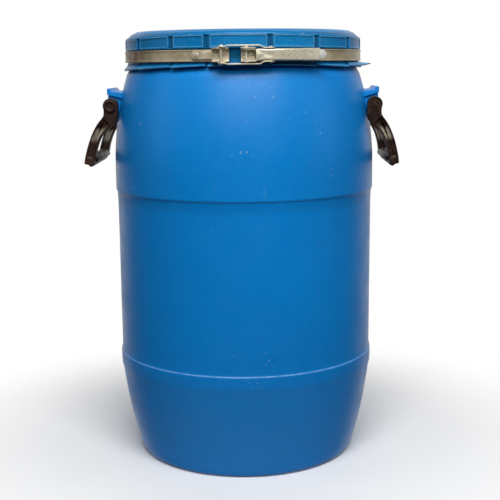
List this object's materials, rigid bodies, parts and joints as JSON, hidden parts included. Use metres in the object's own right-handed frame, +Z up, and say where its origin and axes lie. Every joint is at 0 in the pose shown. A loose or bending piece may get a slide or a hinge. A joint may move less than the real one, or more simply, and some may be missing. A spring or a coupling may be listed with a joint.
{
  "type": "plastic open head drum",
  "caption": "Round plastic open head drum with a segmented lid held by a steel lever closing ring, and swing handles on its shoulder.",
  "frame": {"origin": "centre of the base, on the floor", "axes": "+Z up the drum's axis, -Y towards the closing lever, +X towards the right-hand handle"},
  "size_m": [0.458, 0.389, 0.636],
  "materials": {
    "drum_plastic": "satin blow-moulded polyethylene with a fine grain, scuffs and small white scratches",
    "lid_plastic": "satin injection-moulded polyethylene",
    "gasket_foam": "matt closed-cell foam",
    "zinc_steel": "galvanised sheet with a pale yellow passivation",
    "pin_steel": "bright zinc-plated pins and rivets",
    "handle_plastic": "satin black-brown moulded plastic"
  },
  "bodies": {
    "drum": {"drum_body": "drum_plastic"},
    "lid": {"lid": "lid_plastic", "lid_gasket": "gasket_foam"},
    "ring_right": {"clamp_band_right": "zinc_steel", "fulcrum_bracket": "zinc_steel", "fulcrum_pin": "pin_steel", "fulcrum_rivet_inner": "pin_steel", "fulcrum_rivet_outer": "pin_steel"},
    "ring_left": {"clamp_band_left": "zinc_steel", "anchor_bracket": "zinc_steel", "anchor_rivet_outer": "pin_steel", "anchor_rivet_inner": "pin_steel"},
    "lever": {"closing_lever": "zinc_steel", "link_rivet_upper": "pin_steel", "link_rivet_lower": "pin_steel"},
    "link": {"link_strap_upper": "zinc_steel", "link_strap_lower": "zinc_steel", "link_pin": "pin_steel"},
    "handle_left": {"handle_left": "handle_plastic", "handle_pin_left": "handle_plastic", "handle_pin_clip_left": "handle_plastic"},
    "handle_right": {"handle_right": "handle_plastic", "handle_pin_right": "handle_plastic", "handle_pin_clip_right": "handle_plastic"}
  },
  "joints": [
    {"name": "lid_lift", "type": "slide", "parent": "drum", "child": "lid", "axis": [0, 0, 1], "range_m": [0, 0.12]},
    {"name": "ring_right_spread", "type": "hinge", "parent": "lid", "child": "ring_right", "pos_m": [-0.00288, 0.17548, 0.6003], "axis": [0, 0, 1], "range_deg": [0, 1.5]},
    {"name": "ring_left_spread", "type": "hinge", "parent": "ring_right", "child": "ring_left", "pos_m": [-0.00288, 0.17548, 0.6003], "axis": [0, 0, -1], "range_deg": [0, 3]},
    {"name": "lever_swing", "type": "hinge", "parent": "ring_right", "child": "lever", "pos_m": [0.00815, -0.18382, 0.6011], "axis": [0, 0, -1], "range_deg": [0, 90]},
    {"name": "link_swing", "type": "hinge", "parent": "lever", "child": "link", "pos_m": [0.041, -0.17989, 0.6011], "axis": [0, 0, 1], "range_deg": [0, 55.1]},
    {"name": "handle_left_swing", "type": "hinge", "parent": "drum", "child": "handle_left", "pos_m": [-0.191, 0, 0.531], "axis": [0, 1, 0], "range_deg": [0, 95]},
    {"name": "handle_right_swing", "type": "hinge", "parent": "drum", "child": "handle_right", "pos_m": [0.191, 0, 0.531], "axis": [0, -1, 0], "range_deg": [0, 95]}
  ],
  "couplings": [
    {"joint": "ring_right_spread", "follows": "lever_swing", "ratio": 0.016595},
    {"joint": "ring_left_spread", "follows": "lever_swing", "ratio": 0.033191},
    {"joint": "link_swing", "follows": "lever_swing", "ratio": 0.61201}
  ]
}
